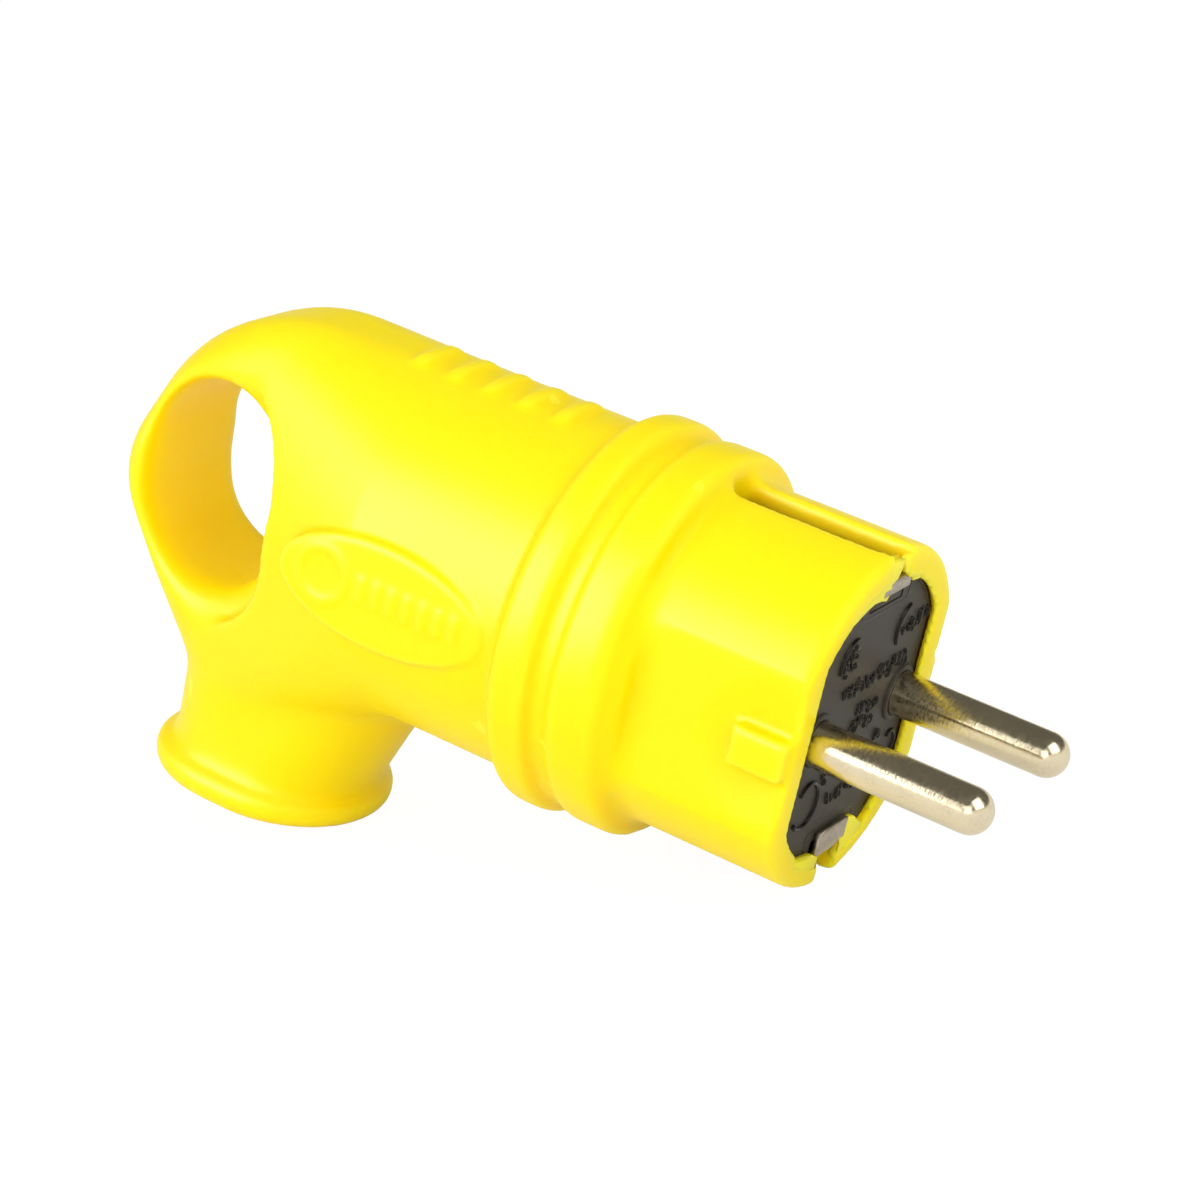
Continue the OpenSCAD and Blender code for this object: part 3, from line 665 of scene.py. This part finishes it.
def pad_ribs(bm, ground):
    """A raised ring and a row of short ribs on the pad of each side."""
    for side in (1, -1):
        out, level = (0, side, 0), side * BARREL_RADIUS
        line = oval((PAD_RING, level, PAD_MIDDLE), (FORWARD, UPWARD), (PAD_RING_R, PAD_RING_R))
        raised_line(bm, line, out, PAD_RING_HALF_WIDTH, PAD_LINE, ground)
        for i in range(PAD_RIBS):
            raised_pad(bm, (PAD_RIB_FIRST + PAD_RIB_STEP * i, level, PAD_MIDDLE), UPWARD, FORWARD, out,
                       PAD_RIB_HALF_LEN, PAD_RIB_HALF_WIDTH, PAD_LINE, ground, steps=(8, 6))


def flatted_side(radius, half_width, side, steps=14):
    """One side of a round outline with a flat, from the upper earth groove to the notch below."""
    last = math.asin(half_width / radius)
    halves = []
    for start, rise in ((SLOT_HALF_WIDTH, 1), (NOTCH_HALF_WIDTH, -1)):
        first = math.asin(start / radius)
        turns = [first + (last - first) * i / steps for i in range(steps + 1)]
        halves.append([(side * radius * math.sin(a), rise * radius * math.cos(a)) for a in turns])
    return halves[0] + halves[1][::-1]


def rim_lip(bm):
    """The lip of the rim that laps over the edge of the insert's face."""
    for side in (1, -1):
        outer = flatted_side(NOSE_RADIUS - LIP_ROOT, NOSE_HALF_WIDTH - LIP_ROOT, side)
        inner = flatted_side(LIP_RADIUS, LIP_HALF_WIDTH, side)
        slab(bm, outer + inner[::-1], FACE + 0.03, -0.02)


def flat_roots(bm):
    """Fills the corner between each flat of the nose and the front collar."""
    reach = NOSE_RADIUS + 0.1
    last = math.acos((NOSE_HALF_WIDTH - 0.4) / reach)
    steps = 10
    turns = [last * (k / steps - 1) for k in range(2 * steps + 1)]
    for side in (1, -1):
        outline = [(side * reach * math.cos(a), reach * math.sin(a)) for a in turns]
        slab(bm, outline, COLLAR_FRONT - 1.0, COLLAR_FRONT + 1.2, rolled=0.5)


def notch_flash():
    """Torn edges and thin flash of rubber where the earth grooves cut through the rim."""
    bm = bmesh.new()
    front = -0.12
    upper_near = [(-8.8, 12.7), (-7.3, 13.2), (-6.1, 13.6), (-4.8, 13.9), (-3.3, 13.8), (-2.0, 13.5),
                  (-1.2, 14.4), (-1.6, 15.2), (-0.5, 15.5), (0.0, 16.3), (0.35, 17.5), (-2.2, 17.7),
                  (-5.2, 16.6), (-8.6, 14.6)]
    upper_far = [(0.5, 17.4), (0.75, 16.7), (1.3, 15.75), (2.9, 15.35), (3.8, 14.3), (5.1, 14.15),
                 (6.2, 14.2), (7.3, 13.6), (8.2, 13.9), (9.2, 13.2), (9.4, 14.4), (6.0, 16.3), (2.2, 17.7)]
    lower_near = [(-9.1, -13.2), (-6.3, -13.75), (-4.3, -14.05), (-2.6, -14.9), (-2.9, -16.2),
                  (-2.25, -17.1), (-2.6, -17.7), (-5.0, -16.9), (-9.0, -15.2)]
    lower_far = [(2.1, -13.3), (2.4, -12.8), (3.3, -12.3), (4.6, -12.55), (6.1, -13.5), (7.6, -14.5),
                 (6.6, -16.3), (3.0, -17.5), (2.2, -17.4), (1.9, -16.2), (2.2, -15.3), (1.7, -14.4)]
    for outline in (upper_near, upper_far, lower_near, lower_far):
        slab(bm, outline, FACE + 0.05, front, FLASH_ROLL)
    torn_web = [(-1.6, 17.2), (1.6, 17.2), (0.9, 16.0), (0.3, 15.4), (-0.6, 16.1)]
    slab(bm, torn_web, FACE - 1.0, FACE - 0.4)
    return finished(bm, "notch_flash", RUBBER)


def earth_contacts():
    """The folded strip: a contact along the top and one along the bottom of the nose, joined behind the
    insert."""
    bm = bmesh.new()
    inside = STRIP_REACH - STRIP_THICKNESS
    upper = [(STRIP_FRONT, STRIP_LIPS[0]), (STRIP_FRONT, STRIP_REACH), (STRIP_STEP[0], STRIP_REACH),
             (STRIP_STEP[1], inside), (STRIP_CROSS, inside)]
    lower = [(STRIP_CROSS, -inside), (STRIP_STEP[1], -inside), (STRIP_STEP[0], -STRIP_REACH),
             (STRIP_FRONT, -STRIP_REACH), (STRIP_FRONT, STRIP_LIPS[1])]
    folded_strip(bm, upper + lower, STRIP_BEND, STRIP_HALF_WIDTH, STRIP_THICKNESS)
    piece = finished(bm, "earth_contacts", STRIP)
    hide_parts("earth_strap")
    return piece


def seat_blocks():
    """The insert in front of the ends of the folded contacts."""
    bm = bmesh.new()
    for low, high in SEATS:
        outline = [(-SEAT_HALF_WIDTH, low), (SEAT_HALF_WIDTH, low), (SEAT_HALF_WIDTH, high),
                   (-SEAT_HALF_WIDTH, high)]
        slab(bm, outline, FACE - 1.2, FACE - 0.04, rolled=0.06)
    return finished(bm, "seat_blocks", INSERT)


def pin_collars():
    """Low rings of the insert round the feet of the pins."""
    bm = bmesh.new()
    outline = [(FACE + x, PIN_RADIUS + r)
               for x, r in ((-0.2, 0.05), (0.22, 0.05), (0.3, 0.16), (0.3, 0.5), (0.2, 0.68), (-0.2, 0.75))]
    for side in (1, -1):
        turned_ring(bm, side * PIN_HALF_PITCH, 0, outline)
    return finished(bm, "pin_collars", INSERT)


def rubber_housing():
    """The housing as it is moulded: the node's form with soft corners and its raised details."""
    cad = frame["nodes"]["housing"]
    ground = Ground(cad)
    bm = bmesh.new()
    bm.from_mesh(cad.data)
    bmesh.ops.remove_doubles(bm, verts=bm.verts, dist=1e-6)
    rim_lip(bm)
    flat_roots(bm)
    barrel_grips(bm, ground)
    pad_ribs(bm, ground)
    mesh = softened(bm, SKIN_VOXEL, SKIN_SOFTENING, SKIN_SHARE)
    mesh.name = "rubber_housing"
    piece = new_piece("rubber_housing", mesh, RUBBER)
    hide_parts("housing")
    return piece


def chips(bm, start, end, count, height, seed):
    """A row of short raised chips of uneven size, from one (left, up) place on the face to another."""
    draw = random.Random(seed)
    start, end = Vector((FACE - 0.02, *start)), Vector((FACE - 0.02, *end))
    along = (end - start).normalized()
    across = Vector((1, 0, 0)).cross(along)
    for i in range(count):
        spot = start.lerp(end, i / max(count - 1, 1))
        for _ in range(2):
            lean = (across + along * draw.uniform(-0.9, 0.9)).normalized()
            side = Vector((1, 0, 0)).cross(lean)
            shift = across * height * draw.uniform(-0.3, 0.3) + along * draw.uniform(-0.25, 0.25)
            raised_pad(bm, spot + shift, lean, side, (1, 0, 0), height * draw.uniform(0.16, 0.42),
                       draw.uniform(0.2, 0.34), draw.uniform(0.22, 0.45), steps=(6, 4), root=0.1)


# moulded arcs on the face: left, up, radius, and the degrees at which they start and that they cover
FACE_ARCS = ((-7.8, -7.6, 2.5, -140, 280), (10.3, -6.1, 1.4, -100, 230),
             (7.1, 8.3, 2.3, 95, 130), (-5.3, 7.6, 2.3, 75, 125))

# rows of chips on it: first and last place, how many, how tall, and the seed of their unevenness
CHIP_ROWS = (((6.6, 7.6), (11.4, 8.8), 7, 1.7, 3), ((-7.0, 6.9), (-4.4, 8.4), 4, 2.0, 5),
             ((-6.2, 6.4), (-4.2, 6.7), 3, 1.2, 8), ((-5.2, 3.8), (8.8, 4.2), 17, 2.1, 11),
             ((-0.6, 0.9), (3.9, 0.2), 7, 1.7, 13), ((-1.1, -0.8), (3.6, -1.5), 7, 1.7, 17),
             ((6.2, -3.9), (7.2, -4.1), 2, 1.6, 19), ((-4.9, -5.0), (-4.4, -5.6), 2, 1.3, 23),
             ((-2.6, -8.6), (4.4, -8.5), 8, 1.8, 29))


def face_marks():
    """Generic moulding marks on the insert's face: arcs and rows of chips."""
    bm = bmesh.new()
    for y, z, radius, start, sweep in FACE_ARCS:
        arc = oval((FACE - 0.02, y, z), (LEFTWARD, UPWARD), (radius, radius), 28, math.radians(start),
                   math.radians(sweep))
        raised_line(bm, arc, FORWARD, 0.26, 0.34, closed=False, root=0.1)
    for row in CHIP_ROWS:
        chips(bm, *row)
    return finished(bm, "face_marks", MARKING)


def face_seams_and_groove_shade():
    """A dark seam round the face's edge, and dark lines painted as the shade of the grooves round the seats of
    the earth contacts.
    """
    bm = bmesh.new()
    level = FACE - 0.01
    for side in (1, -1):
        # painted shade: a dark raised line stands for the shaded groove round the seat
        seat = rounded_path([(level, y, side * z) for y, z in SEAT_GROOVE_SHADE], 1.1)
        raised_line(bm, seat, FORWARD, 0.13, 0.05, closed=False, root=0.1)
        edge = [(level, y, z) for y, z in flatted_side(LIP_RADIUS + 0.05, LIP_HALF_WIDTH + 0.05, side)]
        raised_line(bm, edge, FORWARD, 0.2, 0.06, closed=False, root=0.1)
    return finished(bm, "face_seams_and_groove_shade", MARKING)


# ---------------------------------------------------------------- studio

EYE = (95.36, -256.82, 118.25)      # camera, its aim and its up direction, on the plug's axes
AIM = (-27.68, -8.03, 4.40)
UP = (-0.357, 0.2369, 0.9035)
LENS = 89.256

FLOOR_SIZE = 6.0
SHADOW_SHARE = 0.10                 # how much of the floor's own shade shows under the plug
AMBIENT = 0.64
GLOSS_FLOOR = 0.3                   # share of the floor that metal sees as plain white
GLOSS_CEILING = 0.13                # what metal sees above the lamps
GLOSS_WALL_TOP = 0.10, 0.32         # between these heights the white wall gives way to that ceiling
FLOOR_GLOW = 1.06

# way to the lamp, its distance and width in metres, and its power in watts
SOFTBOXES = {
    "right_softbox": ((0.82, -0.22, 0.58), 0.55, 0.42, 1.2),
    "left_softbox": ((-0.40, -0.84, 0.42), 0.60, 0.34, 1.35),
    "front_softbox": ((0.32, -0.90, 0.30), 0.60, 0.34, 0.6),
}
SHEEN_SOFTBOX = (-0.36, -0.80, 0.48), 0.60, 0.50, 14.0


def camera():
    eye, aim = on_plug(*EYE), on_plug(*AIM)
    back = (eye - aim).normalized()
    right = (PLUG_TURN @ Vector(UP)).cross(back).normalized()
    above = back.cross(right)
    data = bpy.data.cameras.new("camera")
    data.lens, data.sensor_width = LENS, 36
    data.clip_start, data.clip_end = 0.01, 20
    made = bpy.data.objects.new("camera", data)
    made.matrix_world = Matrix.Translation(eye) @ Matrix((right, above, back)).transposed().to_4x4()
    bpy.context.scene.collection.objects.link(made)
    bpy.context.scene.camera = made


def softbox(name, towards, distance, size, power, sheen_on=()):
    """A square lamp at a distance from the plug's middle, facing it. With sheen_on, it only adds sheen to
    those pieces."""
    data = bpy.data.lights.new(name, "AREA")
    data.shape, data.size, data.energy = "SQUARE", size, power
    made = bpy.data.objects.new(name, data)
    middle = (cad_box[0] + cad_box[1]) / 2
    way = Vector(towards).normalized()
    made.location = middle + way * distance
    made.rotation_euler = way.to_track_quat("Z", "Y").to_euler()
    if sheen_on:
        made.visible_diffuse = False
        lit = bpy.data.collections.new(name + "_lights")
        for piece in sheen_on:
            lit.objects.link(piece)
        made.light_linking.receiver_collection = lit
    bpy.context.scene.collection.objects.link(made)
    return made


def floor():
    """A pale floor that the view and the metal see as white, with a little of the plug's shadow."""
    mesh = bpy.data.meshes.new("floor")
    half = FLOOR_SIZE / 2
    corners = [(-half, -half, 0), (half, -half, 0), (half, half, 0), (-half, half, 0)]
    mesh.from_pydata(corners, [], [(0, 1, 2, 3)])
    made = bpy.data.objects.new("floor", mesh)
    bpy.context.scene.collection.objects.link(made)
    paint = bpy.data.materials.new("pale_floor")
    paint.use_nodes = True
    tree = paint.node_tree
    tree.nodes.clear()
    matt = add(tree, "ShaderNodeBsdfDiffuse", {"Color": FLOOR_GREY})
    white = add(tree, "ShaderNodeEmission", {"Color": WHITE, "Strength": FLOOR_GLOW})
    path = add(tree, "ShaderNodeLightPath")
    mirrored = add(tree, "ShaderNodeMath",
                   {0: path.outputs["Is Glossy Ray"], 1: GLOSS_FLOOR}, operation="MULTIPLY")
    seen = add(tree, "ShaderNodeMath",
               {0: path.outputs["Is Camera Ray"], 1: mirrored.outputs[0]}, operation="MAXIMUM")
    seen = add(tree, "ShaderNodeMath",
               {0: seen.outputs[0], 1: path.outputs["Is Transmission Ray"]}, operation="MAXIMUM")
    share = add(tree, "ShaderNodeMath", {0: seen.outputs[0], 1: 1 - SHADOW_SHARE}, operation="MULTIPLY")
    both = add(tree, "ShaderNodeMixShader", {0: share.outputs[0], 1: matt.outputs[0], 2: white.outputs[0]})
    add(tree, "ShaderNodeOutputMaterial", {"Surface": both.outputs[0]})
    mesh.materials.append(paint)


def surroundings():
    """White behind the plug, an even soft light on it, and a dark room above for the metal."""
    world = bpy.data.worlds.new("studio")
    bpy.context.scene.world = world
    world.use_nodes = True
    tree = world.node_tree
    tree.nodes.clear()
    path = add(tree, "ShaderNodeLightPath")
    even = add(tree, "ShaderNodeBackground", {"Color": WHITE, "Strength": AMBIENT})
    white = add(tree, "ShaderNodeBackground", {"Color": WHITE, "Strength": 1.0})
    way = add(tree, "ShaderNodeSeparateXYZ", {0: add(tree, "ShaderNodeTexCoord").outputs["Generated"]})
    height = add(tree, "ShaderNodeMapRange",
                 {"Value": way.outputs["Z"], "From Min": GLOSS_WALL_TOP[0], "From Max": GLOSS_WALL_TOP[1],
                  "To Min": 1.0, "To Max": GLOSS_CEILING}, interpolation_type="SMOOTHSTEP")
    room = add(tree, "ShaderNodeBackground", {"Color": ROOM_CREAM, "Strength": height.outputs[0]})
    gloss = add(tree, "ShaderNodeMixShader",
                {0: path.outputs["Is Glossy Ray"], 1: even.outputs[0], 2: room.outputs[0]})
    seen = add(tree, "ShaderNodeMath",
               {0: path.outputs["Is Camera Ray"], 1: path.outputs["Is Transmission Ray"]}, operation="MAXIMUM")
    both = add(tree, "ShaderNodeMixShader", {0: seen.outputs[0], 1: gloss.outputs[0], 2: white.outputs[0]})
    add(tree, "ShaderNodeOutputWorld", {"Surface": both.outputs[0]})


def studio(rubber_pieces):
    camera()
    floor()
    surroundings()
    for name, values in SOFTBOXES.items():
        softbox(name, *values)
    softbox("sheen_softbox", *SHEEN_SOFTBOX, sheen_on=rubber_pieces)
    bpy.context.scene.view_settings.view_transform = "Standard"


finish_nodes()
rubber_pieces = [rubber_housing(), notch_flash()]
earth_contacts()
seat_blocks()
pin_collars()
face_marks()
face_seams_and_groove_shade()
studio(rubber_pieces)
